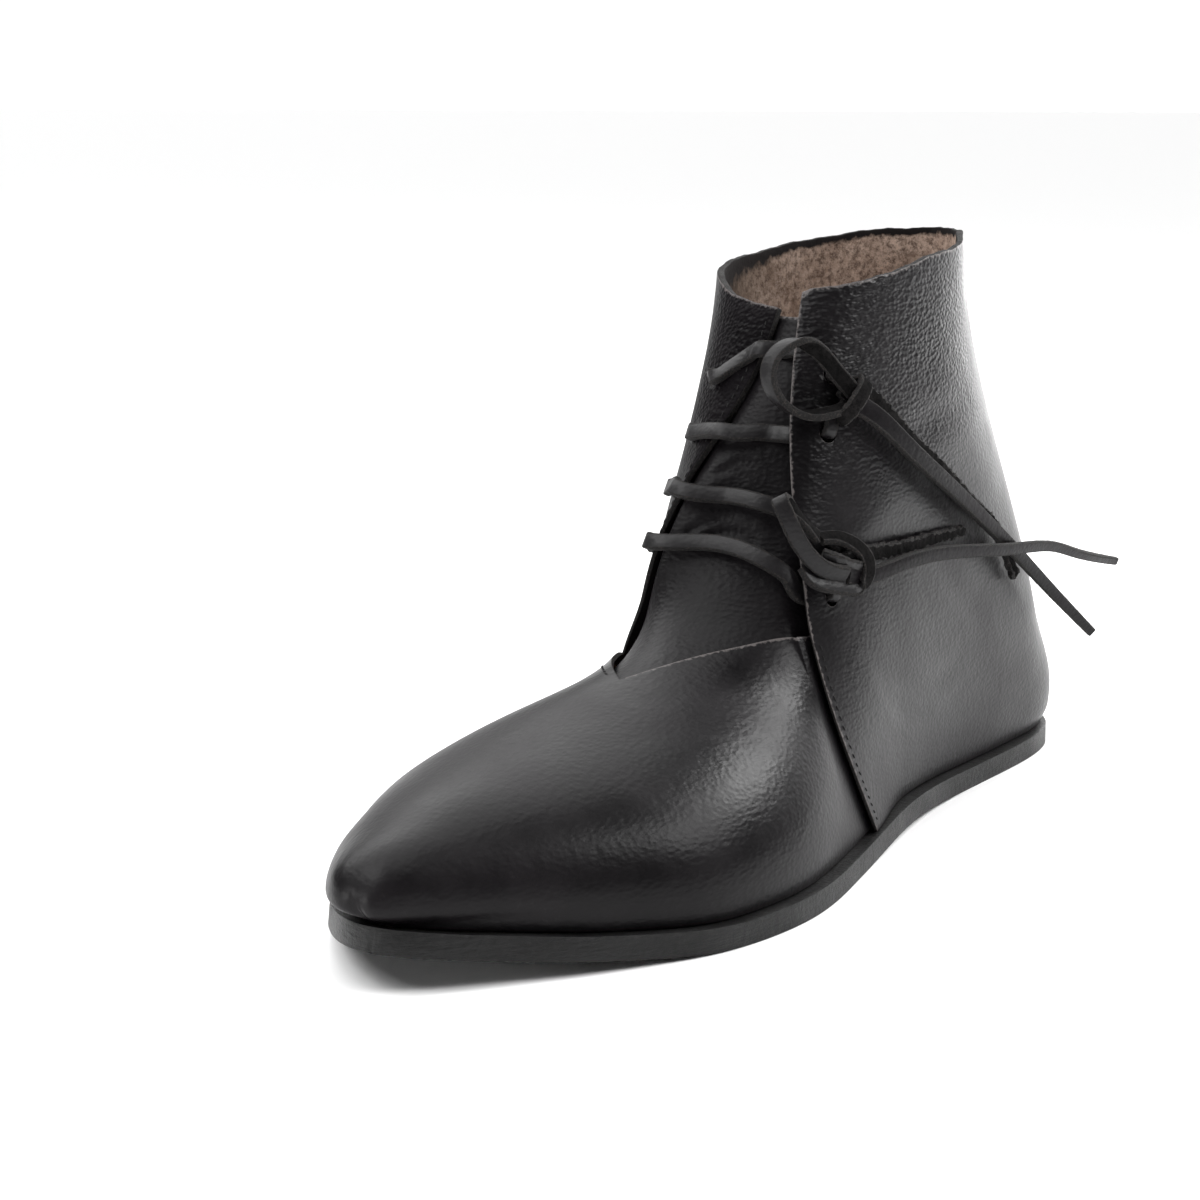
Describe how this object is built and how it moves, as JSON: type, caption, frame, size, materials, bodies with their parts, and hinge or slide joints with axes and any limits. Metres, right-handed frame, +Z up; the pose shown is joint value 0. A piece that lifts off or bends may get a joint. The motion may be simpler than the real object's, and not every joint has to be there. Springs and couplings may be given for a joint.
{
  "type": "renaissance ankle boot",
  "caption": "Left ankle boot in thin black leather: flat one-layer sole, pointed toe, open throat over a tongue, laced at the side with flat leather thongs tied in half bows.",
  "frame": {"origin": "middle of the sole's length and width, on the floor", "axes": "+Z up, toe towards -Y, outer side of the left foot towards +X"},
  "size_m": [0.0947, 0.2922, 0.1395],
  "materials": {
    "sole_leather": "matte waxed sole leather with a blackened edge",
    "insole_leather": "undyed brown leather, flesh side",
    "upper_leather": "satin black leather with fine grain, raw cut edges and a brown flesh side",
    "tongue_leather": "satin black leather",
    "lace_leather": "black leather thong, smooth face and rough back"
  },
  "bodies": {
    "root": {"outsole": "sole_leather", "insole": "insole_leather", "upper": "upper_leather", "tongue": "tongue_leather", "lace_bar_1": "lace_leather", "lace_bar_2": "lace_leather", "lace_bar_3": "lace_leather", "lace_bar_4": "lace_leather", "upper_knot": "lace_leather", "upper_loop": "lace_leather", "upper_tail_long": "lace_leather", "upper_tail_short": "lace_leather", "lower_knot": "lace_leather", "lower_loop": "lace_leather", "lower_tail_long": "lace_leather", "lower_tail_short": "lace_leather"}
  },
  "joints": []
}
